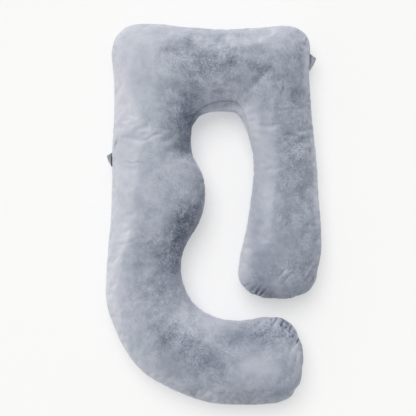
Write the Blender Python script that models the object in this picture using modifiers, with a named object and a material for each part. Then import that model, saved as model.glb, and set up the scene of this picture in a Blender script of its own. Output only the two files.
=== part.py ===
"""G-shaped pregnancy pillow, lying on its back: one filled body, with a folded tab in each side seam.

Metres, +Z up. The origin is on the surface under the pillow, below the middle of its outline.
+Y runs from the curled foot end to the square head end, and +X from the long arm to the short arm.
"""

import math
from collections import namedtuple

import bmesh
import bpy
from mathutils import Vector

CM = 0.01

# The body's sections, cut across the arms from the short arm's tip, over the head end, down the long
# arm and round to the curled foot. Each row is the outer and the inner end of one cut, and how high
# the filling stands there, all in centimetres. The whole outline is 140 long and 79.5 wide.
Section = namedtuple("Section", "outer_x outer_y inner_x inner_y crown")
SECTIONS = (
    Section(38.0, -21.0, 9.0, -21.5, 17.0),
    Section(39.5, -14.0, 10.0, -14.0, 17.3),
    Section(39.5, -5.5, 12.0, -5.5, 17.0),
    Section(38.5, 5.5, 13.7, 5.5, 16.3),
    Section(38.0, 18.0, 14.8, 15.5, 16.0),
    Section(36.5, 31.0, 13.6, 25.5, 16.3),
    Section(35.5, 43.0, 11.5, 32.0, 16.8),
    Section(35.0, 54.5, 9.5, 35.5, 17.2),
    Section(35.2, 63.0, 8.0, 37.0, 17.4),
    Section(33.5, 67.0, 6.0, 37.7, 17.5),
    Section(28.0, 69.0, 4.5, 38.0, 17.7),
    Section(18.0, 68.5, 2.5, 38.0, 18.0),
    Section(5.5, 68.0, 0.0, 38.0, 18.2),
    Section(-8.5, 68.7, -2.0, 37.5, 18.3),
    Section(-21.0, 69.8, -4.0, 36.5, 18.3),
    Section(-29.5, 69.5, -5.5, 35.5, 18.2),
    Section(-34.5, 67.0, -6.5, 34.0, 18.0),
    Section(-37.0, 62.5, -7.5, 32.5, 18.0),
    Section(-37.0, 51.5, -8.0, 29.5, 18.2),
    Section(-36.5, 40.0, -8.2, 26.0, 18.6),
    Section(-37.3, 27.5, -7.0, 20.5, 19.0),
    Section(-37.5, 16.5, -4.3, 15.5, 19.3),
    Section(-37.5, 6.0, -2.9, 7.5, 19.5),
    Section(-38.0, -3.5, -5.2, -3.0, 19.2),
    Section(-38.8, -12.5, -10.5, -12.0, 18.6),
    Section(-39.6, -22.5, -12.0, -20.5, 18.3),
    Section(-39.5, -30.5, -10.2, -27.7, 18.3),
    Section(-37.5, -39.0, -6.5, -33.3, 18.5),
    Section(-33.0, -49.0, -1.0, -37.0, 18.6),
    Section(-26.0, -57.5, 4.5, -38.7, 18.6),
    Section(-16.0, -64.0, 9.5, -39.0, 18.5),
    Section(-3.5, -68.5, 13.8, -38.5, 18.3),
    Section(8.5, -70.0, 17.6, -37.8, 18.0),
    Section(21.4, -69.2, 21.4, -37.5, 17.6),
)

# Past the first and the last section each arm closes in a rounded tip.
Tip = namedtuple("Tip", "depth drift roundness")
SHORT_ARM_TIP = Tip(depth=0.0985, drift=0.003, roundness=2.2)
FOOT_TIP = Tip(depth=0.114, drift=0.0, roundness=2.25)

# A section is widest at mid height. Both halves are superellipses, and the lower one is pressed flat.
MIDDLE = 0.083  # height of the widest line
UPPER_FULLNESS = 2.15
LOWER_FULLNESS = 2.6
LOWER_DEPTH = 0.095  # of the lower half before the surface presses it flat at zero
SEAM_DRAW = 0.0018  # the seam draws the widest line in by this much, so each cut is that much longer
UPPER_STEPS = 18
LOWER_STEPS = 16
RING = UPPER_STEPS + LOWER_STEPS
STATION_GAP = 0.037
TIP_STATIONS = 8

# The seam between the two panels runs round the sides. It rides above mid height in these places.
SeamRise = namedtuple("SeamRise", "x y reach rise")
SEAM_RISES = (
    SeamRise(0.030, 0.385, 0.150, 0.055),  # under the arch of the head end
    SeamRise(0.345, 0.640, 0.070, 0.035),  # round the square corner over the short arm
    SeamRise(-0.375, 0.260, 0.100, 0.030),  # above the tab of the long arm
    SeamRise(0.320, -0.540, 0.090, 0.030),  # across the foot's tip
)
SEAM_GROOVE = 0.0045
SEAM_HIGHEST = 0.9  # of the way from the widest line to the crown, which the seam never passes
BASE_KEPT = 0.015  # below this height nothing is pressed in, so that the base stays flat

# Where the seam turns tightly the cover is taken up in pleats, each a trough that runs in from the rim.
# heading is its direction in plan, in degrees from +X, and reach its length.
Pleat = namedtuple("Pleat", "x y heading reach half_width depth")
PLEATS = (
    Pleat(0.115, -0.270, 50, 0.060, 0.013, 0.0045),
    Pleat(0.156, -0.290, 58, 0.075, 0.013, 0.0070),
    Pleat(0.215, -0.305, 80, 0.045, 0.014, 0.0035),
    Pleat(0.305, -0.294, 118, 0.065, 0.013, 0.0055),
    Pleat(0.360, -0.255, 150, 0.050, 0.014, 0.0035),
    Pleat(0.217, -0.378, 262, 0.060, 0.013, 0.0055),
    Pleat(0.262, -0.390, 240, 0.050, 0.013, 0.0045),
    Pleat(0.312, -0.454, 205, 0.065, 0.013, 0.0070),
    Pleat(0.328, -0.566, 178, 0.060, 0.014, 0.0055),
    Pleat(0.302, -0.640, 138, 0.070, 0.013, 0.0065),
    Pleat(0.251, -0.676, 108, 0.055, 0.013, 0.0045),
    Pleat(0.335, 0.668, 222, 0.060, 0.015, 0.0045),
    Pleat(-0.341, 0.671, -48, 0.065, 0.015, 0.0050),
    Pleat(-0.366, 0.610, -12, 0.050, 0.015, 0.0035),
)
PLEAT_BAND = 0.045  # how far up and down from the seam the pleats reach

# The tight inner seams draw the upper face down beside them.
Hollow = namedtuple("Hollow", "x y reach depth")
HOLLOWS = (
    Hollow(-0.090, 0.330, 0.090, 0.010),
    Hollow(-0.110, 0.215, 0.075, 0.009),
    Hollow(-0.130, -0.110, 0.085, 0.009),
    Hollow(0.120, -0.420, 0.080, 0.007),
    Hollow(0.060, 0.440, 0.120, 0.006),
    Hollow(0.255, 0.100, 0.100, 0.004),
)

# Each tab is a strip folded in two, its ends caught in the side seam, twisted so that one end hangs.
# side is 1 on the short arm's side of the pillow and -1 on the long arm's. skew is how far the fold's
# top end has slipped towards the foot end, which makes the tab three-cornered from above.
Tab = namedtuple("Tab", "name side y_top y_bottom top_reach bottom_reach skew")
TABS = (
    Tab("tab_short_arm", 1, 0.588, 0.526, 0.020, 0.018, 0.017),
    Tab("tab_long_arm", -1, 0.226, 0.176, 0.015, 0.015, 0.012),
)
TAB_CLOTH = 0.0016
TAB_GAP = 0.0012
TAB_TURN_TOP = math.radians(8)  # how far the fold hangs down at the tab's top end
TAB_TURN_BOTTOM = math.radians(70)  # and at its bottom end
TAB_DROOP = 0.004  # how far the bottom end's root sinks
TAB_ROWS = 9
TAB_LEG_STEPS = 5
TAB_FOLD_STEPS = 4
TAB_ROOT_CLEARANCE = 0.0010  # between the seam and the tab

COVER_COLOUR = (0.36, 0.39, 0.46, 1.0)
TAB_COLOUR = (0.28, 0.31, 0.37, 1.0)


def clear_scene():
    for old in list(bpy.data.objects):
        bpy.data.objects.remove(old)


def cloth_material(name, colour):
    material = bpy.data.materials.new(name)
    material.use_nodes = True
    shader = material.node_tree.nodes["Principled BSDF"]
    shader.inputs["Base Color"].default_value = colour
    shader.inputs["Roughness"].default_value = 0.9
    shader.inputs["Metallic"].default_value = 0.0
    return material


def add_object(name, mesh, collection, material):
    thing = bpy.data.objects.new(name, mesh)
    thing.data.materials.append(material)
    collection.objects.link(thing)
    return thing


def spline_point(before, start, end, after, share):
    """A point on a smooth curve that passes start and end, each given as a vector of section values."""
    spans = [max((b - a).length, 1e-6) for a, b in ((before, start), (start, end), (end, after))]
    slope_in = (start - before) / spans[0]
    slope_on = (end - start) / spans[1]
    slope_out = (after - end) / spans[2]
    leave = spans[1] * (slope_in * spans[1] + slope_on * spans[0]) / (spans[0] + spans[1])
    arrive = spans[1] * (slope_on * spans[2] + slope_out * spans[1]) / (spans[1] + spans[2])
    s2, s3 = share**2, share**3
    return (
        start * (2 * s3 - 3 * s2 + 1)
        + leave * (s3 - 2 * s2 + share)
        + end * (3 * s2 - 2 * s3)
        + arrive * (s3 - s2)
    )


def smooth_stations():
    """The section rows in metres, with smooth stations between them about STATION_GAP apart."""
    outer = [Vector((row.outer_x, row.outer_y)) * CM for row in SECTIONS]
    inner = [Vector((row.inner_x, row.inner_y)) * CM for row in SECTIONS]
    crown = [Vector((row.crown, 0.0)) * CM for row in SECTIONS]
    last = len(SECTIONS) - 1
    stations = []
    for i in range(last):
        longest = max((outer[i + 1] - outer[i]).length, (inner[i + 1] - inner[i]).length)
        steps = math.ceil(longest / STATION_GAP)
        for step in range(steps + (i == last - 1)):
            share = step / steps
            station = []
            for values in (outer, inner, crown):
                before = values[i - 1] if i else values[0] * 2 - values[1]
                after = values[i + 2] if i + 2 <= last else values[last] * 2 - values[last - 1]
                station.append(spline_point(before, values[i], values[i + 1], after, share))
            stations.append((station[0], station[1], station[2].x, 1.0))
    return stations


def tip_stations(outer, inner, crown, tip, direction):
    """Stations that shrink from the arm's last section to its rounded tip, and the tip's own point."""
    stations = []
    side = (outer - inner).normalized()
    for step in range(1, TIP_STATIONS + 1):
        along = math.sin(step / (TIP_STATIONS + 1) * math.pi / 2)
        size = (1 - along**tip.roundness) ** (1 / tip.roundness)
        centre = (outer + inner) / 2 + direction * (tip.depth * along) + side * (tip.drift * along)
        half = (outer - inner) / 2 * size
        stations.append((centre + half, centre - half, crown, size))
    pole = (outer + inner) / 2 + direction * tip.depth + side * tip.drift
    return stations, pole


def seam_height(x, y):
    rises = (r.rise * math.exp(-((x - r.x) ** 2 + (y - r.y) ** 2) / r.reach**2) for r in SEAM_RISES)
    return MIDDLE + sum(rises)


def seam_angle(point, crown, size):
    """How far round the section, above its widest line, the seam lies."""
    share = (seam_height(point.x, point.y) - MIDDLE) / (crown - MIDDLE)
    return math.asin(min(share, SEAM_HIGHEST) ** (UPPER_FULLNESS / 2)) * size


def section_point(outer, inner, crown, size, angle):
    """The point of a section at an angle round it, from the outer side over the top."""
    fullness = UPPER_FULLNESS if math.sin(angle) >= 0 else LOWER_FULLNESS
    across = math.copysign(abs(math.cos(angle)) ** (2 / fullness), math.cos(angle))
    up = abs(math.sin(angle)) ** (2 / fullness) * size
    height = MIDDLE + (crown - MIDDLE) * up if math.sin(angle) >= 0 else MIDDLE - LOWER_DEPTH * up
    half = (outer - inner) / 2
    plan = (outer + inner) / 2 + (half + half.normalized() * SEAM_DRAW) * across
    return Vector((plan.x, plan.y, max(0.0, height)))


def ring_points(outer, inner, crown, size):
    """One closed ring that starts on the outer seam and has its UPPER_STEPS-th point on the inner one."""
    first = seam_angle(outer, crown, size)
    second = math.pi - seam_angle(inner, crown, size)
    upper = [first + (second - first) * k / UPPER_STEPS for k in range(UPPER_STEPS)]
    under = 2 * math.pi + first - second
    lower = [second + under * k / LOWER_STEPS for k in range(LOWER_STEPS)]
    return [section_point(outer, inner, crown, size, angle) for angle in upper + lower]


def body_stations():
    """All stations from tip to tip, and the two points in which they end."""
    arms = smooth_stations()
    start, end = arms[0], arms[-1]
    short_tip, short_pole = tip_stations(*start[:3], SHORT_ARM_TIP, Vector((0.0, -1.0)))
    foot_tip, foot_pole = tip_stations(*end[:3], FOOT_TIP, Vector((1.0, 0.0)))
    return short_tip[::-1] + arms + foot_tip, short_pole, foot_pole


def loft(rings, first_pole, last_pole):
    """A closed skin over the rings, drawn together in a point at either end."""
    mesh = bmesh.new()
    loops = [[mesh.verts.new(point) for point in ring] for ring in rings]
    for near, far in zip(loops, loops[1:]):
        for k in range(RING):
            mesh.faces.new((near[k], near[(k + 1) % RING], far[(k + 1) % RING], far[k]))
    for pole, loop in ((first_pole, loops[0]), (last_pole, loops[-1])):
        point = mesh.verts.new((pole.x, pole.y, MIDDLE))
        for k in range(RING):
            mesh.faces.new((point, loop[k], loop[(k + 1) % RING]))
    bmesh.ops.recalc_face_normals(mesh, faces=mesh.faces)
    mesh.normal_update()
    return mesh, loops


def pleat_relief(place):
    """How deep the pleats press the cover in at a place."""
    relief = 0.0
    band = math.exp(-(((place.z - seam_height(place.x, place.y)) / PLEAT_BAND) ** 2))
    for p in PLEATS:
        heading = Vector((math.cos(math.radians(p.heading)), math.sin(math.radians(p.heading))))
        offset = Vector((place.x - p.x, place.y - p.y))
        along = offset.dot(heading)
        across = offset.cross(heading)
        end = math.exp(-((max(0.0, along) / p.reach) ** 2) - (min(0.0, along) / p.half_width) ** 2)
        relief -= p.depth * math.exp(-((across / p.half_width) ** 2)) * end * band
    return relief


def hollow_relief(place):
    away = (h.depth * math.exp(-((place.x - h.x) ** 2 + (place.y - h.y) ** 2) / h.reach**2) for h in HOLLOWS)
    return -sum(away) * min(1.0, max(0.0, (place.z - MIDDLE) / MIDDLE))


def add_relief(mesh, seam_verts):
    """Presses in the seam, the pleats beside it and the hollows of the upper face. The base stays flat."""
    moves = {}
    for vert in mesh.verts:
        if vert.co.z < BASE_KEPT:
            continue
        out = pleat_relief(vert.co) - (SEAM_GROOVE if vert in seam_verts else 0.0)
        moves[vert] = vert.normal * out + Vector((0.0, 0.0, hollow_relief(vert.co)))
    for vert, move in moves.items():
        vert.co += move


def build_body(collection):
    stations, short_pole, foot_pole = body_stations()
    rings = [ring_points(*station) for station in stations]
    mesh, loops = loft(rings, short_pole, foot_pole)
    mesh.verts.ensure_lookup_table()
    seam_verts = {loop[k] for loop in loops for k in (0, UPPER_STEPS)} | set(mesh.verts[-2:])
    add_relief(mesh, seam_verts)
    data = bpy.data.meshes.new("pillow_body")
    mesh.to_mesh(data)
    mesh.free()
    data.shade_smooth()
    return add_object("pillow_body", data, collection, cloth_material("velvet_cover", COVER_COLOUR))


def outer_seam_points(tab):
    """Points along the body's outer seam between a tab's two ends, spaced evenly in y."""
    line = [outer for outer, *rest in body_stations()[0] if outer.x * tab.side > 0]
    line.sort(key=lambda p: p.y)
    points = []
    for k in range(TAB_ROWS):
        y = tab.y_top + (tab.y_bottom - tab.y_top) * k / (TAB_ROWS - 1)
        low, high = next((a, b) for a, b in zip(line, line[1:]) if a.y <= y <= b.y)
        points.append(low.lerp(high, (y - low.y) / (high.y - low.y)))
    return points


def tab_row(tab, root, share):
    """Points half way between the tab's two legs, from the seam to the fold, at one share of its length.

    The tab lies out level at its top end and hangs down the side at its bottom end."""
    reach = tab.top_reach + (tab.bottom_reach - tab.top_reach) * share
    turn = TAB_TURN_TOP + (TAB_TURN_BOTTOM - TAB_TURN_TOP) * share
    lower_face = (TAB_GAP / 2 + TAB_CLOTH) * math.sin(turn)
    start = root.x + tab.side * (SEAM_DRAW - SEAM_GROOVE + TAB_ROOT_CLEARANCE + lower_face)
    height = seam_height(root.x, root.y) - TAB_DROOP * share
    row = []
    for step in range(TAB_LEG_STEPS + 1):
        out = reach * step / TAB_LEG_STEPS
        slip = tab.skew * (1 - share) * step / TAB_LEG_STEPS
        x = start + tab.side * out * math.cos(turn)
        row.append(Vector((x, root.y - slip, height - out * math.sin(turn))))
    return row


def folded_points(tab, middle, k):
    """One row of the folded cloth: out along the upper leg, round the fold and back along the lower leg.

    The legs stand off square to the twisted middle, so that they never pinch together."""
    spread = (TAB_CLOTH + TAB_GAP) / 2
    upper, lower = [], []
    for step, point in enumerate(middle[k]):
        along = middle[min(k + 1, TAB_ROWS - 1)][step] - middle[max(k - 1, 0)][step]
        outward = middle[k][min(step + 1, TAB_LEG_STEPS)] - middle[k][max(step - 1, 0)]
        up = along.cross(outward).normalized() * tab.side
        upper.append(point + up * spread)
        lower.append(point - up * spread)
    over = up.cross(along).normalized() * tab.side
    angles = [math.pi / 2 - math.pi * turn / TAB_FOLD_STEPS for turn in range(1, TAB_FOLD_STEPS)]
    fold = [point + (over * math.cos(angle) + up * math.sin(angle)) * spread for angle in angles]
    return upper + fold + lower[::-1]


def build_tab(tab, collection):
    mesh = bmesh.new()
    roots = outer_seam_points(tab)
    middle = [tab_row(tab, root, k / (TAB_ROWS - 1)) for k, root in enumerate(roots)]
    rows = []
    for k in range(TAB_ROWS):
        rows.append([mesh.verts.new(point) for point in folded_points(tab, middle, k)])
    for near, far in zip(rows, rows[1:]):
        for k in range(len(near) - 1):
            mesh.faces.new((near[k], near[k + 1], far[k + 1], far[k]))
    data = bpy.data.meshes.new(tab.name)
    mesh.to_mesh(data)
    mesh.free()
    thing = add_object(tab.name, data, collection, cloth_material(tab.name + "_cloth", TAB_COLOUR))
    wall = thing.modifiers.new("cloth", "SOLIDIFY")
    wall.thickness = TAB_CLOTH
    wall.offset = 0.0
    data.shade_smooth()
    return thing


def build():
    clear_scene()
    collection = bpy.data.collections.new("pregnancy_pillow")
    bpy.context.scene.collection.children.link(collection)
    build_body(collection)
    for tab in TABS:
        build_tab(tab, collection)


build()
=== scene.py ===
# %% [markdown]
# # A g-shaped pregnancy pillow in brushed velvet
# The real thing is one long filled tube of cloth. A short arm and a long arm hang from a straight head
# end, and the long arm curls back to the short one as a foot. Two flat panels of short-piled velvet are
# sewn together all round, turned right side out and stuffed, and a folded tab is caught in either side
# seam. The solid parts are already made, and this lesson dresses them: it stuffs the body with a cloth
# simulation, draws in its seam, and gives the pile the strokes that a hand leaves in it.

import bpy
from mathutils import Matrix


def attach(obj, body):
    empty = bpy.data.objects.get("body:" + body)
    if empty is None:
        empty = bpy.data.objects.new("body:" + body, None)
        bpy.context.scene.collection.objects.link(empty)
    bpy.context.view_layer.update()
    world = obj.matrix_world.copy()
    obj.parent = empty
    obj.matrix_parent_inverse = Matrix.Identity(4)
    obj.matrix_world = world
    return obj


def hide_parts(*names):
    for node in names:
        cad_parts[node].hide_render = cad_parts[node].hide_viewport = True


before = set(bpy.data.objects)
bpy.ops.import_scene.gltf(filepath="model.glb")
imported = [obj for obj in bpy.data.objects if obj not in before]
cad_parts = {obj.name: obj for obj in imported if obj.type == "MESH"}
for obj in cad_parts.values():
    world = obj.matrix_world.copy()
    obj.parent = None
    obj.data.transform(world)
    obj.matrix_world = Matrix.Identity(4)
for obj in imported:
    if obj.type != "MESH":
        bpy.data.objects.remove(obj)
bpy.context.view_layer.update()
print("nodes:", sorted(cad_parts))

# %% [markdown]
# Every later step works on the points of a mesh. numpy handles them all at once, so these helpers read
# and write a mesh's points as one array, and apply a modifier the way the Apply button does. An operator
# acts on all that is selected, so everything is deselected first.

# %% Helpers for points and modifiers
import math
from collections import namedtuple

import bpy
import numpy as np
from mathutils import Vector, noise

MM = 0.001
CM = 0.01


def select_only(thing):
    bpy.ops.object.select_all(action="DESELECT")
    thing.select_set(True)
    bpy.context.view_layer.objects.active = thing


def read_points(mesh):
    points = np.empty(len(mesh.vertices) * 3)
    mesh.vertices.foreach_get("co", points)
    return points.reshape(-1, 3)


def write_points(mesh, points):
    mesh.vertices.foreach_set("co", points.ravel())
    mesh.update()


def read_normals(mesh):
    normals = np.empty(len(mesh.vertices) * 3)
    mesh.vertices.foreach_get("normal", normals)
    return normals.reshape(-1, 3)


def write_attribute(mesh, name, values):
    attribute = mesh.attributes.new(name, "FLOAT", "POINT")
    attribute.data.foreach_set("value", values.astype(np.float32))


def add_modifier(thing, kind, **settings):
    modifier = thing.modifiers.new(kind.lower(), kind)
    for name, value in settings.items():
        setattr(modifier, name, value)
    return modifier


def apply_modifiers(thing):
    select_only(thing)
    for name in [modifier.name for modifier in thing.modifiers]:
        bpy.ops.object.modifier_apply(modifier=name)


# %% [markdown]
# ## Camera
# The pillow was photographed from straight above, lying on its back. A camera that isn't turned at all
# looks down -Z with +Y at the top of the picture, which is that view. A long lens far away keeps the
# sides of the pillow from showing much.

# %% Camera straight above
CAMERA_PLACE = (-0.021, 0.024, 3.2)
SEAM_LEVEL = 0.083  # the height of the side seam, where the pillow is widest
PICTURE_WIDTH = 1.529  # of the plane at that height, in metres
SENSOR = 36.0  # mm

bpy.ops.object.camera_add(location=CAMERA_PLACE, rotation=(0.0, 0.0, 0.0))
camera = bpy.context.object
camera.data.sensor_width = SENSOR
camera.data.lens = SENSOR * (CAMERA_PLACE[2] - SEAM_LEVEL) / PICTURE_WIDTH
bpy.context.scene.camera = camera
print("lens in mm:", round(camera.data.lens, 1))

# %% [markdown]
# ## Materials: two helpers
# Colours are written as hex values, as they are seen on a screen, and shaders work in linear light, so
# one function turns the first into the second. Another adds a node with its settings and its links, so
# that a material reads as a list of what it is made of.

# %% Colour and node helpers
MIX_FACTOR, MIX_A, MIX_B, MIX_RESULT = 0, 6, 7, 2  # a Mix node's sockets when it mixes colours


def linear_colour(hex_value):
    """The linear light of a colour that is written on the sRGB curve."""
    shares = [int(hex_value[k : k + 2], 16) / 255 for k in (1, 3, 5)]
    linear = [s / 12.92 if s <= 0.04045 else ((s + 0.055) / 1.055) ** 2.4 for s in shares]
    return (*linear, 1.0)


def add_node(tree, kind, settings=None, links=None):
    """A new node. A setting is a property of the node itself, or else the value of one of its inputs."""
    node = tree.nodes.new(kind)
    for name, value in (settings or {}).items():
        if isinstance(name, str) and hasattr(node, name):
            setattr(node, name, value)
        else:
            node.inputs[name].default_value = value
    for name, source in (links or {}).items():
        tree.links.new(source, node.inputs[name])
    return node


def new_material(name):
    """A material, its node tree and its Principled shader."""
    material = bpy.data.materials.new(name)
    material.use_nodes = True
    tree = material.node_tree
    return material, tree, tree.nodes["Principled BSDF"]


# %% [markdown]
# ## Floor and light
# The studio is a near-white table, lit a little from below, under a big soft light from the upper left,
# with a bright room all round that fills the shadows. The floor is one large plane with a dull finish.
# The tones are meant to come out as they are written, so the view transform is Standard.

# %% Floor
FLOOR_SIZE = 60.0
FLOOR_GLOW = 0.32

bpy.ops.mesh.primitive_plane_add(size=FLOOR_SIZE, location=(0.0, 0.0, 0.0))
floor = bpy.context.object
floor.name = "studio_floor"
acrylic, tree, shader = new_material("white_opal_acrylic")
haze = add_node(tree, "ShaderNodeTexNoise", {"Scale": 2.0, "Detail": 2.0})
tone = add_node(
    tree,
    "ShaderNodeMix",
    {"data_type": "RGBA", MIX_A: linear_colour("#e2e2e1"), MIX_B: linear_colour("#e4e3e2")},
    {MIX_FACTOR: haze.outputs["Fac"]},
)
tree.links.new(tone.outputs[MIX_RESULT], shader.inputs["Base Color"])
shader.inputs["Roughness"].default_value = 0.9
shader.inputs["Specular IOR Level"].default_value = 0.1
shader.inputs["Emission Color"].default_value = linear_colour("#ffffff")
shader.inputs["Emission Strength"].default_value = FLOOR_GLOW
floor.data.materials.append(acrylic)

# %% Lights
ROOM_BRIGHTNESS = 0.46
KEY_FROM = Vector((-0.22, 0.52, 1.0))
KEY_STRENGTH = 1.37
KEY_SOFTNESS = math.radians(45)

room = bpy.data.worlds.new("bright_room")
room.use_nodes = True
room.node_tree.nodes["Background"].inputs["Color"].default_value = linear_colour("#fafaf9")
room.node_tree.nodes["Background"].inputs["Strength"].default_value = ROOM_BRIGHTNESS
bpy.context.scene.world = room

bpy.ops.object.light_add(type="SUN", location=KEY_FROM)
key_light = bpy.context.object
key_light.name = "key_light"
key_light.data.energy = KEY_STRENGTH
key_light.data.angle = KEY_SOFTNESS
key_light.rotation_euler = (-KEY_FROM).to_track_quat("-Z", "Y").to_euler()
bpy.context.scene.view_settings.view_transform = "Standard"

# %% [markdown]
# ## The filled body
# A real pillow gets its shape when the sewn cover is stuffed: the cloth swells until the seam and its
# own length hold it. Sculpting could imitate that, but a simulation does it by itself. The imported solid
# is copied, its loose triangles are merged, and a voxel remesh turns it into small even squares, which
# is what cloth needs.

# %% Copy and remesh the body
VOXEL = 7.4 * MM

pillow = bpy.data.objects.new("velvet_pillow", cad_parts["pillow_body"].data.copy())
bpy.context.scene.collection.objects.link(pillow)
pillow.data.materials.clear()
select_only(pillow)
bpy.ops.object.mode_set(mode="EDIT")
bpy.ops.mesh.select_all(action="SELECT")
bpy.ops.mesh.remove_doubles(threshold=0.1 * MM)
bpy.ops.object.mode_set(mode="OBJECT")
add_modifier(pillow, "REMESH", mode="VOXEL", voxel_size=VOXEL)
add_modifier(pillow, "SMOOTH", factor=0.5, iterations=2)
apply_modifiers(pillow)
print("squares in the cover:", len(pillow.data.polygons))

# %% [markdown]
# The seam where the two panels meet runs round the sides, a little under half way up, at the height that
# the camera was set by. It rides higher in four places, where the cover has been pulled round: under the
# arch, at a corner, at a tab and over the foot's tip. The seam is described as a height for every place
# in plan, so that it can be found again after each change to the mesh.

# %% Where the seam runs
SEAM_RISES = (  # x, y, reach, rise
    (0.030, 0.385, 0.150, 0.055),
    (0.345, 0.640, 0.070, 0.035),
    (-0.375, 0.260, 0.100, 0.030),
    (0.320, -0.540, 0.090, 0.030),
)


def seam_height(points):
    height = np.full(len(points), SEAM_LEVEL)
    for x, y, reach, rise in SEAM_RISES:
        away = (points[:, 0] - x) ** 2 + (points[:, 1] - y) ** 2
        height += rise * np.exp(-away / reach**2)
    return height


def bell(distance, width):
    """1 at distance zero, and close to 0 at twice the width."""
    return np.exp(-((distance / width) ** 2))


# %% [markdown]
# Blender's cloth can be blown up by a pressure, which stands in for the fibre filling. The base, which
# rests on the floor, and the seam, which is a double layer and hardly stretches, are held by a vertex
# group. The cover is cut a touch too large in the simulation, so it buckles into the soft wrinkles of
# a real cover. The cloth swells as it fills, so it starts from a slightly smaller shape, and a cap
# limits how far a point may have gone.

# %% Stuff the cover with a cloth simulation
PRESSURE = 4.0
FRAMES = 15
SPARE_CLOTH = 0.012
SHRINK = 3.0 * MM
SWELL_CAP = 7.0 * MM
SEAM_HOLD = 11.0 * MM
BASE_HOLD = 6.0 * MM


def hold_of(points):
    """How firmly each point of the cover is held: 1 along the seam and on the base."""
    seam_hold = bell(points[:, 2] - seam_height(points), SEAM_HOLD)
    return np.maximum(seam_hold, bell(points[:, 2], BASE_HOLD))


def stuff(cover):
    before = read_points(cover.data)
    held = cover.vertex_groups.new(name="held")
    for index, hold in enumerate(hold_of(before)):
        held.add([index], float(hold), "REPLACE")
    cloth = add_modifier(cover, "CLOTH")
    settings = cloth.settings
    settings.quality = 4
    settings.mass = 0.3
    settings.tension_stiffness = 15.0
    settings.compression_stiffness = 15.0
    settings.shear_stiffness = 5.0
    settings.bending_stiffness = 2.0
    settings.vertex_group_mass = held.name
    settings.shrink_min = -SPARE_CLOTH
    settings.use_pressure = True
    settings.uniform_pressure_force = PRESSURE
    settings.effector_weights.gravity = 0.0
    cloth.collision_settings.use_collision = False
    for step in range(1, FRAMES + 1):
        bpy.context.scene.frame_set(step)
    apply_modifiers(cover)
    cover.vertex_groups.clear()
    move = read_points(cover.data) - before
    length = np.linalg.norm(move, axis=1)
    capped = np.minimum(1.0, SWELL_CAP / np.maximum(length, MM))
    write_points(cover.data, before + move * capped[:, None])
    print("moved in mm, mean and most:", length.mean() / MM, length.max() / MM)


points = read_points(pillow.data)
free = 1.0 - hold_of(points)
write_points(pillow.data, points - read_normals(pillow.data) * (SHRINK * free)[:, None])
stuff(pillow)

# %% [markdown]
# One subdivision rounds the squares off, and gives the seam and its puckers enough points. Fibre filling
# is never even, so slow noise then makes the upper face a little lumpy. The base is pressed flat, because
# the pillow lies on it.

# %% Subdivide, add lumps and rest the base on the floor
LUMP_SPACING = 0.11
LUMP_HEIGHT = 3.0 * MM
REGAIN = 2.6 * MM  # what the remesh and its smoothing took off the sides
REGAIN_BAND = 50.0 * MM
FLAT_BELOW = 2.0 * MM


def noise_at(points, spacing, seed):
    """Smooth noise from about -1 to 1. seed is an offset that picks another part of the pattern."""
    shift = Vector((seed, 2.0 * seed, 3.0 * seed))
    return np.array([noise.noise(Vector(point) / spacing + shift) for point in points])


def press_flat(points):
    """Lays on the floor what has come close to it."""
    points[:, 2] = np.where(points[:, 2] < FLAT_BELOW, 0.0, points[:, 2])


add_modifier(pillow, "SUBSURF", levels=1, render_levels=1)
apply_modifiers(pillow)
points = read_points(pillow.data)
regain = REGAIN * bell(points[:, 2] - seam_height(points), REGAIN_BAND)
points += read_normals(pillow.data) * regain[:, None]
upper = np.clip(points[:, 2] / SEAM_LEVEL, 0.0, 1.0) ** 2
lumps = noise_at(points, LUMP_SPACING, seed=1.7) * LUMP_HEIGHT * upper
points += read_normals(pillow.data) * lumps[:, None]
press_flat(points)
write_points(pillow.data, points)
print("triangles:", 2 * len(pillow.data.polygons))
print("size in mm:", np.ptp(points, axis=0) / MM)

# %% [markdown]
# ## Seam, puckers, pleats and creases
# The thread pulls the two panels into a narrow valley, and the cloth beside it gathers into puckers
# about two centimetres apart. A mesh shows a thin valley only where it has points, so those that lie
# near the seam first slide onto it, along the surface.

# %% Draw in the seam
SEAM_SNAP = 1.9 * MM
SEAM_DEPTH = 3.6 * MM
SEAM_WIDTH = 4.0 * MM
PUCKER_SPACING = 19.0 * MM
PUCKER_DEPTH = 1.1 * MM
PUCKER_REACH = 22.0 * MM


def slide_onto_seam(mesh):
    """Two slides, because the sides are round, bring the points near the seam onto it."""
    points = read_points(mesh)
    normals = read_normals(mesh)
    for _ in range(2):
        above = points[:, 2] - seam_height(points)
        near = np.abs(above) < SEAM_SNAP
        shift = np.zeros_like(points)
        shift[:, 2] = np.where(near, -above, 0.0)
        along_normal = np.sum(shift * normals, axis=1)
        points += shift - normals * along_normal[:, None]
    write_points(mesh, points)


slide_onto_seam(pillow.data)
points = read_points(pillow.data)
above_seam = np.abs(points[:, 2] - seam_height(points))
valley = SEAM_DEPTH * np.exp(-above_seam / SEAM_WIDTH)
plan = points * (1.0, 1.0, 0.0)
gathers = PUCKER_DEPTH * noise_at(plan, PUCKER_SPACING, seed=4.1) * bell(above_seam, PUCKER_REACH)
points -= read_normals(pillow.data) * (valley + gathers)[:, None]
write_points(pillow.data, points)

# %% [markdown]
# Where the outline turns tightly, at the tips of both arms and at two corners, the cover has more cloth
# than the turn needs and takes it up in pleats that run in from the seam. Elsewhere a few creases cross
# the arms. Each is a row of a short table: a soft trough with a place, a heading in degrees, a length,
# a width and a depth, which is below zero where the cloth bulges. A low ridge rises on either side of a
# trough, where the cloth that it takes up goes. Straight troughs would look ruled, so the places that
# they are worked out from are shifted by noise, and the folds wander as they do in cloth.

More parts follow.
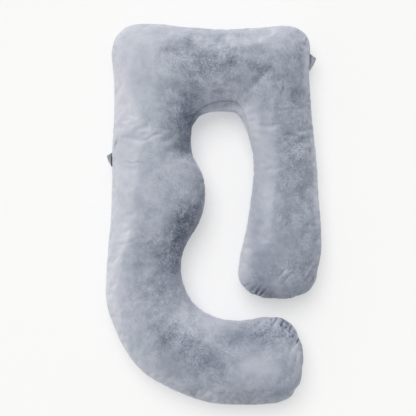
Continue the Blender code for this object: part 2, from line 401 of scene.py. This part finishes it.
# %% Press in pleats and creases
PLEATS = (  # x, y, heading, reach in cm, half width and depth in mm
    (11.2, -26.0, 35, 2.5, 4, 2.0),
    (13.4, -27.4, 45, 2.5, 4, 2.0),
    (15.4, -28.6, 58, 2.6, 4, 7.0),
    (17.0, -29.0, 50, 2.2, 4, 6.0),
    (20.6, -29.6, 75, 2.0, 4, 1.5),
    (27.4, -30.2, 84, 1.8, 4, 2.6),
    (30.2, -29.6, 48, 2.6, 4, 3.2),
    (35.6, -24.0, 62, 3.6, 4, 2.5),
    (21.2, -37.6, 275, 1.8, 4, 3.0),
    (23.0, -38.0, 230, 2.6, 4, 3.5),
    (25.0, -38.6, 262, 2.2, 4, 4.0),
    (24.6, -39.8, -25, 1.4, 4, 2.5),
    (26.4, -40.6, 215, 2.0, 4, 4.0),
    (28.2, -41.0, 244, 2.2, 4, 3.5),
    (27.4, -42.6, -55, 1.6, 4, 3.0),
    (28.6, -44.2, 190, 1.8, 4, 3.0),
    (31.2, -45.4, 222, 3.0, 4, 5.0),
    (30.2, -46.8, -65, 1.4, 4, 2.5),
    (32.8, -49.0, 178, 1.6, 4, 1.5),
    (33.0, -56.6, 170, 2.5, 5, 1.2),
    (30.6, -64.4, 140, 2.0, 4, 2.2),
    (28.2, -66.6, 115, 1.8, 4, 1.6),
    (34.6, 66.0, 250, 4.0, 4, 3.0),
    (-33.4, 66.2, -60, 2.6, 4, 2.5),
    (-36.4, 61.4, -55, 2.6, 4, 2.0),
)
PLEAT_BAND_ABOVE = 60.0 * MM  # how far up from the seam a pleat runs
PLEAT_BAND_BELOW = 8.0 * MM
RIDGE_SHARE = 0.45
CREASES = (  # middle x, y in cm, heading, half length in cm, half width and depth in mm
    (-29.2, 18.6, -5, 3.6, 5, 1.0),
    (-21.9, 27.9, 28, 3.6, 5, 1.1),
    (-32.2, -9.9, 15, 4.5, 5, 1.0),
    (24.1, 43.5, 78, 3.4, 5, 0.9),
    (22.6, 41.0, 82, 2.6, 5, 0.6),
    (27.8, 38.0, 4, 5.0, 5, 0.9),
    (29.2, 40.2, -6, 3.0, 5, 0.6),
    (32.1, 27.7, -12, 3.6, 5, 1.0),
    (32.8, 24.0, -22, 2.6, 5, 0.8),
    (22.6, -17.2, 5, 1.0, 4, -1.2),
    (25.0, -21.2, 48, 2.2, 4, -1.8),
    (26.8, -20.6, 38, 2.0, 4, -1.4),
    (26.0, -22.6, 55, 1.8, 4, 1.4),
    (34.4, -20.0, 58, 2.6, 4, -1.5),
    (29.0, -52.0, 80, 4.0, 7, 1.4),
    (-6.0, 42.5, -35, 4.0, 6, 0.8),
    (3.0, 44.0, 5, 5.0, 6, 0.7),
)
FOLD_SHADE = 0.34  # how much painted shade darkens the pile at the bottom of a pleat or crease of FOLD_FULL
FOLD_FULL = 3.0 * MM
SHADE_RANGE = (-0.6, 1.7)  # painted light on the highest ridge and painted shade in the deepest fold, as shares of FOLD_SHADE
SIDE_LOSS = 0.6  # the share of a fold's depth that is lost on an upright side
FOLD_WANDER = 9.0 * MM  # how far the folds stray from straight lines
WANDER_SPACING = 28.0 * MM


def along_and_across(points, x, y, heading):
    """How far points lie along and across a heading from a place, which is given in centimetres."""
    angle = math.radians(heading)
    away = points[:, :2] - np.array((x, y)) * CM
    along = away @ (math.cos(angle), math.sin(angle))
    across = away @ (-math.sin(angle), math.cos(angle))
    return along, across


def trough(points, x, y, heading, ahead, behind, half_width):
    """The share of a trough's depth at each point. It fades out ahead of its place and behind it."""
    along, across = along_and_across(points, x, y, heading)
    ends = bell(np.maximum(along, 0.0), ahead) * bell(np.minimum(along, 0.0), behind)
    beside = bell(np.abs(across) - 2.0 * half_width, half_width)
    return ends * (bell(across, half_width) - RIDGE_SHARE * beside)


points = read_points(pillow.data)
normals = read_normals(pillow.data)
pressed = np.zeros(len(points))
wander = FOLD_WANDER * noise_at(points, WANDER_SPACING, seed=6.1)
bent = points + wander[:, None] * (1.0, 1.0, 0.0)
above = points[:, 2] - seam_height(points)
band = bell(above, np.where(above > 0.0, PLEAT_BAND_ABOVE, PLEAT_BAND_BELOW))
for x, y, heading, reach, half_width, depth in PLEATS:
    half_width *= MM
    share = trough(bent, x, y, heading, reach * CM, half_width * 2, half_width)
    pressed += depth * MM * share * band
top = np.clip((points[:, 2] - SEAM_LEVEL) / SEAM_LEVEL, 0.0, 1.0)
for x, y, heading, half_length, half_width, depth in CREASES:
    half_length *= CM
    share = trough(bent, x, y, heading, half_length, half_length, half_width * MM)
    pressed += depth * MM * share * top
# painted shade in the pleats and creases, and painted light on the ridges beside them
fold_shade = FOLD_SHADE * np.clip(pressed / FOLD_FULL, *SHADE_RANGE)
on_the_side = np.clip(1.0 - np.abs(normals[:, 2]), 0.0, 1.0)
points -= normals * (pressed * (1.0 - SIDE_LOSS * on_the_side))[:, None]
press_flat(points)
write_points(pillow.data, points)
select_only(pillow)
bpy.ops.object.shade_smooth()

# %% [markdown]
# ## Which way the pile lies, with painted light and shade
# Velvet is light where its pile leans towards the light and dark where it was stroked the other way, so
# one colour of cloth shows two. The lie of the pile belongs to the surface, whatever side it is seen
# from, so it is stored in the mesh as an attribute, from 0 for the darkest to 1 for the lightest.
# Painted light and shade go into the same attribute: sides that face left and towards the head, where the
# key light comes from, are painted lighter, and sides that face right and towards the foot are painted
# darker. Then come marks: each is a soft oval with a middle, half its length and width in centimetres, a
# heading and how much it lightens. Most are patches where the pile lies another way, and the painted
# highlights and painted shade among them are noted in the table.
# Two more attributes go with it: brushed says how much the strokes of a hand show in a place, and seam
# marks the line that is dark because it lies deep in the seam's valley.

# %% Store the lie of the pile
NAP_LEVEL = 0.575
PAINTED_SIDE_LIGHT = {"left": 0.44, "right": -0.14, "head": 0.30, "foot": -0.08}
GAIN_FADE = 2.2  # how fast the painted side light and shade fade where the surface turns under
GAIN_LEAST = 0.15
MARK_START = 1.6  # with MARK_FADE, this ends the marks where the surface faces down
MARK_FADE = 2.0
BRUSHED_LEVEL = 0.45
BRUSHED_CHANGE = 0.35  # how much noise adds or takes away
BRUSHED_SPACING = 0.09
BRUSHED_RANGE = (0.1, 1.2)
SEAM_SHADE_WIDTH = 3.0 * MM
LIE_AND_LIGHT_MARKS = (  # middle x, y, half length, half width in cm, heading, lightening
    # the head end
    (-24.0, 44.0, 26.0, 8.0, 90, 0.17),
    (4.0, 65.0, 16.0, 1.5, 0, -0.11),
    (-9.5, 62.0, 3.0, 2.5, 80, -0.20),
    (2.0, 63.0, 3.0, 1.5, 85, -0.18),
    (-15.5, 59.0, 3.5, 2.0, 0, -0.20),
    (7.0, 55.5, 3.5, 3.0, -40, -0.19),
    (-2.0, 53.5, 5.5, 3.5, -20, -0.20),
    (11.0, 56.0, 3.0, 2.0, 10, 0.12),
    (18.0, 51.5, 4.5, 3.0, -10, -0.16),
    # painted highlight: a thin sheen rim along the short arm's right edge, by the tab
    (34.0, 55.0, 9.0, 1.5, 88, 0.26),
    # round the arch
    # painted shade: these two darken the long arm's inner side under the head, which faces away from the
    # light
    (-9.0, 37.0, 8.0, 3.5, 80, -0.31),
    (-10.5, 25.0, 4.5, 3.0, 70, -0.30),
    (-11.0, 20.0, 2.5, 2.0, 40, 0.16),
    (3.0, 38.0, 8.0, 1.5, 0, 0.30),
    (13.0, 32.5, 5.0, 1.5, -70, 0.15),
    # the long arm
    (-35.5, 26.0, 2.0, 0.5, 70, -0.30),
    (-18.0, 7.0, 16.0, 5.0, 85, 0.07),
    (-9.0, 7.0, 4.0, 3.0, 80, 0.18),
    (-9.5, -2.5, 7.5, 5.0, 70, -0.28),
    (-14.5, -17.0, 8.5, 3.5, 77, -0.26),
    (-20.0, -16.0, 5.0, 2.0, 85, -0.11),
    # the short arm
    (30.0, 43.0, 5.0, 3.5, 10, -0.12),
    (17.0, 36.0, 12.0, 4.0, 90, -0.10),
    (15.5, 31.0, 8.5, 1.5, 95, 0.16),
    # painted highlight: a thin sheen rim along the short arm's right edge
    (37.5, 14.0, 22.0, 1.5, 92, 0.24),
    (27.5, 5.0, 27.0, 7.0, 90, -0.08),
    (15.0, -2.0, 19.0, 3.0, 90, -0.16),
    (17.0, -19.0, 14.0, 5.0, 85, -0.24),
    (18.0, -28.0, 5.0, 2.0, -25, -0.15),
    # the foot
    (-7.5, -37.0, 8.5, 3.5, -30, 0.12),
    (-17.5, -44.0, 3.0, 2.5, 30, -0.14),
    (-8.0, -50.0, 13.0, 6.0, -20, -0.17),
    (9.0, -44.0, 8.5, 4.5, -5, -0.19),
    (19.5, -42.5, 9.5, 5.0, 5, -0.26),
    # painted shade: these three darken the foot's tip in its crumpled gathers
    (28.5, -42.0, 6.0, 2.0, -50, -0.12),
    (26.0, -39.0, 3.0, 0.5, -45, -0.35),
    (31.0, -46.5, 1.5, 0.5, -55, -0.30),
    (30.0, -53.5, 9.0, 2.0, 90, 0.16),
    (14.5, -54.5, 12.0, 7.0, 0, 0.08),
)
BRUSHED = (  # the same, with how much more strokes show there
    (2.0, 56.0, 18.0, 8.0, 0, 0.50),
    (-14.0, 40.0, 9.0, 5.0, 75, 0.35),
    (-12.0, -4.0, 12.0, 4.5, 80, 0.40),
    (-10.0, -40.0, 14.0, 8.0, -30, 0.50),
    (22.0, -42.0, 9.0, 4.0, -15, 0.60),
    (31.0, 22.0, 22.0, 5.0, 88, 0.35),
    (18.0, -14.0, 13.0, 6.0, 88, -0.60),
    (18.0, 22.0, 18.0, 4.0, 90, -0.45),
    (-31.0, 20.0, 48.0, 5.0, 90, -0.30),
    (-23.0, 47.0, 8.0, 6.0, 0, -0.30),
    (16.0, -55.0, 9.0, 6.0, 0, -0.25),
)


def ovals(points, rows):
    """What a table of soft ovals adds up to at each point."""
    result = np.zeros(len(points))
    for x, y, half_length, half_width, heading, strength in rows:
        along, across = along_and_across(points, x, y, heading)
        result += strength * bell(along, half_length * CM) * bell(across, half_width * CM)
    return result


def lie_and_painted_light_of(points, normals):
    x_facing, y_facing = normals[:, 0], normals[:, 1]
    facing = {"left": -x_facing, "right": x_facing, "head": y_facing, "foot": -y_facing}
    # painted light and shade by the side a surface faces: lighter to the left and the head, darker to the
    # right and the foot
    side_light = sum(PAINTED_SIDE_LIGHT[side] * np.maximum(share, 0.0) for side, share in facing.items())
    lie_and_painted_light = NAP_LEVEL + side_light * np.clip(1.0 + GAIN_FADE * normals[:, 2], GAIN_LEAST, 1.0)
    return lie_and_painted_light + ovals(points, LIE_AND_LIGHT_MARKS) * np.clip(MARK_START + MARK_FADE * normals[:, 2], 0.0, 1.0)


points = read_points(pillow.data)
# the lie of the pile, with the painted light and shade of the sides and the folds
lie_and_painted_light = lie_and_painted_light_of(points, read_normals(pillow.data)) - fold_shade
change = BRUSHED_CHANGE * noise_at(points, BRUSHED_SPACING, seed=8.3)
brushed = BRUSHED_LEVEL + change + ovals(points, BRUSHED)
write_attribute(pillow.data, "lie_and_painted_light", lie_and_painted_light)
write_attribute(pillow.data, "brushed", np.clip(brushed, *BRUSHED_RANGE))
write_attribute(pillow.data, "seam", bell(points[:, 2] - seam_height(points), SEAM_SHADE_WIDTH))
print("nap, darkest and lightest:", lie_and_painted_light.min(), lie_and_painted_light.max())

# %% [markdown]
# ## Velvet
# The cover is crystal velvet: a knitted polyester with a dense pile 3 mm high. It has hardly any shine
# of its own, but fibre tips seen from the side catch the light, which is what sheen is for. Hands leave
# strokes in it: short marks one to two centimetres long that lie all ways. A stroke is noise that is
# stretched one way, inside a cell that turns it by a chance angle, and noise bends the cells' edges. The
# colour drifts slowly between a grey and a faint lavender. The pile itself is too fine for a picture, so
# it is drawn as tufts of 4 mm.

# %% The velvet material
STROKE_CELL = 24 * MM
STROKE_WIDTH = 3.6 * MM
STROKE_STRETCH = 0.24  # a stroke's width as a share of its length
BLOB = 0.6  # how wide a blob of noise is, as a share of the noise's own cell
WAVER = 30 * MM
WAVER_SPACING = 25 * MM
PATCH_SPACING = 100 * MM
MOTTLE_SPACING = 34 * MM
TUFT = 4 * MM
TINT_SCALE = 9.0  # cells of noise in a metre
NOISE_MIDDLE = 0.5
PATCH_WEIGHT = 0.30
MOTTLE_WEIGHT = 0.22
TUFT_WEIGHT = 0.07
SEAM_WEIGHT = -0.16
STROKE_BUMP = 0.25
TUFT_BUMP = 0.5
PILE_RELIEF = 1.6 * MM  # how deep the bump goes, about half the pile's height

GREY_LIE = ("#515a69", "#77818f", "#9da6b3", "#c1c8d3", "#dde1e9")
LAVENDER_LIE = ("#555b6a", "#7b8191", "#a3a8b7", "#c8cbd9", "#e4e4ee")


def lie_ramp(tree, factor, colours):
    """A colour ramp, evenly spaced from the darkest lie of the pile to the lightest, painted light and shade
    included.
    """
    ramp = add_node(tree, "ShaderNodeValToRGB", {}, {"Fac": factor})
    stops = ramp.color_ramp.elements
    while len(stops) < len(colours):
        stops.new(0.5)
    # a ramp sorts its stops by their place, so the places are set before the colours
    for k in range(len(colours)):
        stops[k].position = k / (len(colours) - 1)
    for k, colour in enumerate(colours):
        stops[k].color = linear_colour(colour)
    return ramp.outputs["Color"]


def turned_strokes(tree, place, cells, turn, seed):
    """Noise stretched into strokes. Each cell turns it by its own chance angle, times turn."""
    angle = add_node(
        tree, "ShaderNodeVectorMath", {"operation": "MULTIPLY", 1: turn}, {0: cells.outputs["Color"]}
    )
    turned = add_node(
        tree,
        "ShaderNodeVectorRotate",
        {"rotation_type": "EULER_XYZ"},
        {"Vector": place, "Rotation": angle.outputs["Vector"]},
    )
    stretched = add_node(
        tree,
        "ShaderNodeMapping",
        {"Location": (seed, seed, seed), "Scale": (STROKE_STRETCH, 1.0, 1.0)},
        {"Vector": turned.outputs["Vector"]},
    )
    strokes = add_node(
        tree,
        "ShaderNodeTexNoise",
        {"Scale": BLOB / STROKE_WIDTH, "Detail": 1.5, "Roughness": 0.5},
        {"Vector": stretched.outputs["Vector"]},
    )
    crisp = add_node(
        tree,
        "ShaderNodeMapRange",
        {"interpolation_type": "SMOOTHSTEP", "From Min": 0.34, "From Max": 0.66},
        {"Value": strokes.outputs["Fac"]},
    )
    return crisp.outputs["Result"]


def weigh(tree, value, middle, strength):
    """(value - middle) times strength, which is a number or another node's output."""
    centred = add_node(tree, "ShaderNodeMath", {"operation": "SUBTRACT", 1: middle}, {0: value})
    scaled = add_node(tree, "ShaderNodeMath", {"operation": "MULTIPLY"}, {0: centred.outputs[0]})
    if isinstance(strength, float):
        scaled.inputs[1].default_value = strength
    else:
        tree.links.new(strength, scaled.inputs[1])
    return scaled.outputs[0]


def total(tree, *values):
    result = values[0]
    for value in values[1:]:
        added = add_node(tree, "ShaderNodeMath", {"operation": "ADD"}, {0: result, 1: value})
        result = added.outputs[0]
    return result


def stroke_sets(tree, place):
    """Two sets of strokes: one turns in plan alone, and the other every way, which suits the sides."""
    waver = add_node(
        tree, "ShaderNodeTexNoise", {"Scale": 1.0 / WAVER_SPACING, "Detail": 1.0}, {"Vector": place}
    )
    shifted = add_node(
        tree,
        "ShaderNodeVectorMath",
        {"operation": "MULTIPLY_ADD", 1: (WAVER, WAVER, WAVER)},
        {0: waver.outputs["Color"], 2: place},
    )
    cells = add_node(
        tree,
        "ShaderNodeTexVoronoi",
        {"Scale": 1.0 / STROKE_CELL},
        {"Vector": shifted.outputs["Vector"]},
    )
    whole_turn = 2.0 * math.pi
    flat_strokes = turned_strokes(tree, place, cells, (0.0, 0.0, whole_turn), seed=0.0)
    free_strokes = turned_strokes(tree, place, cells, (whole_turn, whole_turn, whole_turn), seed=5.0)
    return flat_strokes, free_strokes


def velvet():
    material, tree, shader = new_material("crystal_velvet")
    place = add_node(tree, "ShaderNodeTexCoord").outputs["Object"]
    lie_and_painted_light = add_node(tree, "ShaderNodeAttribute", {"attribute_name": "lie_and_painted_light"}).outputs["Fac"]
    brushed = add_node(tree, "ShaderNodeAttribute", {"attribute_name": "brushed"}).outputs["Fac"]
    seam = add_node(tree, "ShaderNodeAttribute", {"attribute_name": "seam"}).outputs["Fac"]
    flat_strokes, free_strokes = stroke_sets(tree, place)
    patches = add_node(
        tree, "ShaderNodeTexNoise", {"Scale": 1.0 / PATCH_SPACING, "Detail": 3.0}, {"Vector": place}
    )
    mottle = add_node(
        tree, "ShaderNodeTexNoise", {"Scale": 1.0 / MOTTLE_SPACING, "Detail": 3.0}, {"Vector": place}
    )
    blotches = add_node(
        tree,
        "ShaderNodeMapRange",
        {
            "interpolation_type": "SMOOTHSTEP",
            "From Min": 0.40,
            "From Max": 0.58,
            "To Min": 0.22,
            "To Max": 0.78,
        },
        {"Value": mottle.outputs["Fac"]},
    ).outputs["Result"]
    tufts = add_node(tree, "ShaderNodeTexNoise", {"Scale": 1.0 / TUFT, "Detail": 2.0}, {"Vector": place})

    rough_lie = add_node(
        tree,
        "ShaderNodeMapRange",
        {"From Min": 0.30, "From Max": 0.85, "To Min": 0.23, "To Max": 0.07},
        {"Value": lie_and_painted_light},
    ).outputs["Result"]
    stroke_weight = weigh(tree, brushed, 0.0, rough_lie)
    # the lie includes the painted light and shade of the sides and folds, stored on the mesh
    lie = total(
        tree,
        lie_and_painted_light,
        weigh(tree, patches.outputs["Fac"], NOISE_MIDDLE, PATCH_WEIGHT),
        weigh(tree, mottle.outputs["Fac"], NOISE_MIDDLE, MOTTLE_WEIGHT),
        weigh(tree, blotches, NOISE_MIDDLE, stroke_weight),
        weigh(tree, flat_strokes, NOISE_MIDDLE, stroke_weight),
        weigh(tree, free_strokes, NOISE_MIDDLE, stroke_weight),
        weigh(tree, tufts.outputs["Fac"], NOISE_MIDDLE, TUFT_WEIGHT),
        weigh(tree, seam, 0.0, SEAM_WEIGHT),
    )
    drift = add_node(
        tree, "ShaderNodeTexNoise", {"Scale": TINT_SCALE, "Detail": 3.0}, {"Vector": place}
    )
    tint = add_node(
        tree,
        "ShaderNodeMapRange",
        {"From Min": 0.38, "From Max": 0.62, "To Min": 0.30, "To Max": 0.75},
        {"Value": drift.outputs["Fac"]},
    )
    colour = add_node(
        tree,
        "ShaderNodeMix",
        {"data_type": "RGBA"},
        {
            MIX_FACTOR: tint.outputs["Result"],
            MIX_A: lie_ramp(tree, lie, GREY_LIE),
            MIX_B: lie_ramp(tree, lie, LAVENDER_LIE),
        },
    )
    pile = total(
        tree,
        weigh(tree, flat_strokes, NOISE_MIDDLE, STROKE_BUMP),
        weigh(tree, tufts.outputs["Fac"], NOISE_MIDDLE, TUFT_BUMP),
    )
    bump = add_node(
        tree, "ShaderNodeBump", {"Strength": 0.5, "Distance": PILE_RELIEF}, {"Height": pile}
    )
    tree.links.new(colour.outputs[MIX_RESULT], shader.inputs["Base Color"])
    tree.links.new(bump.outputs["Normal"], shader.inputs["Normal"])
    shader.inputs["Roughness"].default_value = 0.9
    shader.inputs["Specular IOR Level"].default_value = 0.15
    shader.inputs["Sheen Weight"].default_value = 0.55
    shader.inputs["Sheen Roughness"].default_value = 0.45
    shader.inputs["Sheen Tint"].default_value = linear_colour("#f1f1f8")
    return material


pillow.data.materials.append(velvet())

# %% [markdown]
# ## The tabs
# Either tab is a strip of thin ribbon, folded in two, with both ends caught in the side seam. It sticks
# out level at its top end and hangs down at its bottom end, so from above it shows three corners. It
# starts as a flat grid, whose points are then laid along the fold: out over the upper leg, round the
# bend and back along the lower leg. Solidify gives the cloth its thickness.

# %% Fold the tabs
RIBBON = 1.6 * MM
LEG_GAP = 1.2 * MM
TURN_TOP = math.radians(8)  # how far the fold hangs down at the tab's top end
TURN_BOTTOM = math.radians(84)  # and at its bottom end
DROOP = 4.0 * MM  # how far the bottom end's root sinks
SHADED_SHARE = 0.5  # the share of a leg that gets painted shade, as it lies in the shade of the seam
TOP_END_SHADE = 0.4  # how strong the painted shade is at the top end, as a share of the bottom end
ROWS = 24
COLUMNS = 28
Tab = namedtuple("Tab", "name side top_root bottom_root top_reach bottom_reach skew")
TABS = (  # a root is x, y where an end of the tab leaves the seam
    Tab("tab_short_arm", 1, (0.3505, 0.588), (0.3455, 0.526), 22 * MM, 20 * MM, 17 * MM),
    Tab("tab_long_arm", -1, (-0.3705, 0.226), (-0.3700, 0.176), 17 * MM, 17 * MM, 12 * MM),
)


def between(start, end, share):
    return start + (end - start) * share


def middle_point(tab, share, out):
    """A point half way between the two legs: share runs down the tab, and out from the seam to the fold."""
    turn = between(TURN_TOP, TURN_BOTTOM, share)
    reach = between(tab.top_reach, tab.bottom_reach, share) * out
    root_x = between(tab.top_root[0], tab.bottom_root[0], share)
    root_y = between(tab.top_root[1], tab.bottom_root[1], share)
    start = root_x + tab.side * (LEG_GAP / 2 + RIBBON) * math.sin(turn)
    level = seam_height(np.array([(root_x, root_y)]))[0] - DROOP * share
    x = start + tab.side * reach * math.cos(turn)
    y = root_y - tab.skew * (1 - share) * out
    return Vector((x, y, level - reach * math.sin(turn)))


def folded_point(tab, share, across):
    """Where a point of the flat ribbon goes: across is 0 on one end, 1 on the other, and 0.5 on the fold."""
    step = 0.02
    spread = (RIBBON + LEG_GAP) / 2
    half_bend = math.pi * spread / 2
    bend = half_bend / (tab.top_reach + half_bend)
    from_fold = abs(across - 0.5) / 0.5
    leg = min(1.0, (1.0 - from_fold) / (1.0 - bend))
    middle = middle_point(tab, share, leg)
    along = middle_point(tab, share + step, leg) - middle_point(tab, share - step, leg)
    outward = middle_point(tab, share, leg + step) - middle_point(tab, share, leg - step)
    up = along.cross(outward).normalized() * tab.side
    over = up.cross(along).normalized() * tab.side
    angle = math.pi / 2 * min(1.0, from_fold / bend) * math.copysign(1, 0.5 - across)
    return middle + (up * math.sin(angle) + over * math.cos(angle)) * spread


def root_shade_at(share, across):
    """How much painted shade a point of the ribbon gets beside the seam: 0 over its outer half, and most at
    the bottom root.
    """
    from_root = 1.0 - abs(2.0 * across - 1.0)
    return max(0.0, 1.0 - from_root / SHADED_SHARE) * between(TOP_END_SHADE, 1.0, share)


def build_tab(tab):
    bpy.ops.object.select_all(action="DESELECT")
    bpy.ops.mesh.primitive_grid_add(x_subdivisions=COLUMNS, y_subdivisions=ROWS, size=1.0)
    ribbon = bpy.context.object
    ribbon.name = tab.name + "_ribbon"
    flat = read_points(ribbon.data)
    points = [folded_point(tab, 0.5 - y, x + 0.5) for x, y, z in flat]
    write_points(ribbon.data, np.array(points))
    # painted shade beside the seam, most at the bottom root
    write_attribute(ribbon.data, "root_shade", np.array([root_shade_at(0.5 - y, x + 0.5) for x, y, z in flat]))
    add_modifier(ribbon, "SOLIDIFY", thickness=RIBBON, offset=0.0)
    add_modifier(ribbon, "BEVEL", width=0.35 * MM, segments=2, limit_method="ANGLE")
    apply_modifiers(ribbon)
    bpy.ops.object.shade_smooth()
    return ribbon


ribbons = [build_tab(tab) for tab in TABS]
for ribbon in ribbons:
    print(ribbon.name, "size in mm:", np.ptp(read_points(ribbon.data), axis=0) / MM)

# %% [markdown]
# The ribbon is a woven polyester in greys like the cover's, light where it sticks out, with painted shade
# that darkens it where it lies beside the seam. Its threads are about half a millimetre apart. Two sets of
# fine waves that cross each other make its weave, and with no pile it looks flat beside the velvet.

# %% The ribbon material
THREAD = 1.0 * MM  # coarser than the real half millimetre, so that it shows
WAVE_TURN = 20.0  # radians that a Wave texture of scale 1 turns in a metre
THREAD_WEIGHT = 0.3
WEAR_SCALE = 90.0  # cells of noise in a metre
WEAR_WEIGHT = 0.9
WEAR_MIDDLE = -0.3  # far below the noise's own middle, because the whole ribbon is pale
# painted shade beside the seam takes the ribbon down to the darkest of RIBBON_TONES
ROOT_SHADE_WEIGHT = -1.2
RIBBON_TONES = ("#3d424c", "#8b919c", "#b4b9c2", "#d2d5db")


def woven_ribbon():
    material, tree, shader = new_material("woven_polyester_ribbon")
    place = add_node(tree, "ShaderNodeTexCoord").outputs["Object"]
    wave_scale = 1.0 / THREAD / WAVE_TURN * math.pi  # a thread is half a wave
    warp = add_node(
        tree, "ShaderNodeTexWave", {"bands_direction": "Y", "Scale": wave_scale}, {"Vector": place}
    )
    weft = add_node(
        tree, "ShaderNodeTexWave", {"bands_direction": "DIAGONAL", "Scale": wave_scale}, {"Vector": place}
    )
    wear = add_node(tree, "ShaderNodeTexNoise", {"Scale": WEAR_SCALE, "Detail": 3.0}, {"Vector": place})
    # painted shade beside the seam
    root_shade = add_node(tree, "ShaderNodeAttribute", {"attribute_name": "root_shade"}).outputs["Fac"]
    weave = total(
        tree,
        weigh(tree, warp.outputs["Fac"], NOISE_MIDDLE, THREAD_WEIGHT),
        weigh(tree, weft.outputs["Fac"], NOISE_MIDDLE, THREAD_WEIGHT),
        weigh(tree, wear.outputs["Fac"], WEAR_MIDDLE, WEAR_WEIGHT),
        weigh(tree, root_shade, 0.0, ROOT_SHADE_WEIGHT),
    )
    colour = lie_ramp(tree, weave, RIBBON_TONES)
    bump = add_node(
        tree, "ShaderNodeBump", {"Strength": 0.6, "Distance": 0.3 * MM}, {"Height": weave}
    )
    tree.links.new(colour, shader.inputs["Base Color"])
    tree.links.new(bump.outputs["Normal"], shader.inputs["Normal"])
    shader.inputs["Roughness"].default_value = 0.75
    shader.inputs["Sheen Weight"].default_value = 0.2
    return material


ribbon_cloth = woven_ribbon()
for ribbon in ribbons:
    ribbon.data.materials.append(ribbon_cloth)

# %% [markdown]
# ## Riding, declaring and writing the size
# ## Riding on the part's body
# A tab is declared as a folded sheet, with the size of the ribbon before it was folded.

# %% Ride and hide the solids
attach(pillow, "root")
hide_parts("pillow_body")
for tab, ribbon in zip(TABS, ribbons):
    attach(ribbon, "root")
    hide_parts(tab.name)
